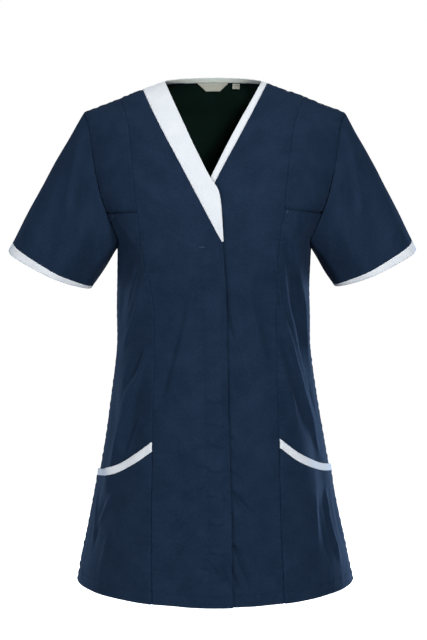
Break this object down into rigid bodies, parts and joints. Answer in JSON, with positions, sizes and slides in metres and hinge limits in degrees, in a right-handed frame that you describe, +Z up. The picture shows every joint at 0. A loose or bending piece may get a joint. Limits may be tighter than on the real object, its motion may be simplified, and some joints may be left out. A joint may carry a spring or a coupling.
{
  "type": "medical tunic",
  "caption": "Short-sleeved hip-length work tunic, filled out as worn, with a lapped front, V neck, princess seams, set-in pockets and contrast binding.",
  "frame": {"origin": "midway between the two neck points, on the line of the shoulder seams, where the wearer's shoulders hold the tunic", "axes": "+Z up, -Y out of the chest, +X towards the wearer's left"},
  "size_m": [0.6053, 0.289, 0.7559],
  "materials": {
    "navy_cloth": "plain woven, matt",
    "white_trim": "plain woven, matt",
    "label_cloth": "satin woven, bare"
  },
  "bodies": {
    "root": {"front_right": "navy_cloth", "front_left": "navy_cloth", "side_front_right": "navy_cloth", "side_front_left": "navy_cloth", "chest_piece_right": "navy_cloth", "chest_piece_left": "navy_cloth", "back": "navy_cloth", "sleeve_right": "navy_cloth", "sleeve_left": "navy_cloth", "sleeve_binding_right": "white_trim", "sleeve_binding_left": "white_trim", "neck_band": "white_trim", "neck_binding_left": "white_trim", "neck_binding_back": "white_trim", "pocket_right": "navy_cloth", "pocket_left": "navy_cloth", "pocket_binding_right": "white_trim", "pocket_binding_left": "white_trim", "neck_label": "label_cloth", "size_label": "label_cloth"}
  },
  "joints": []
}
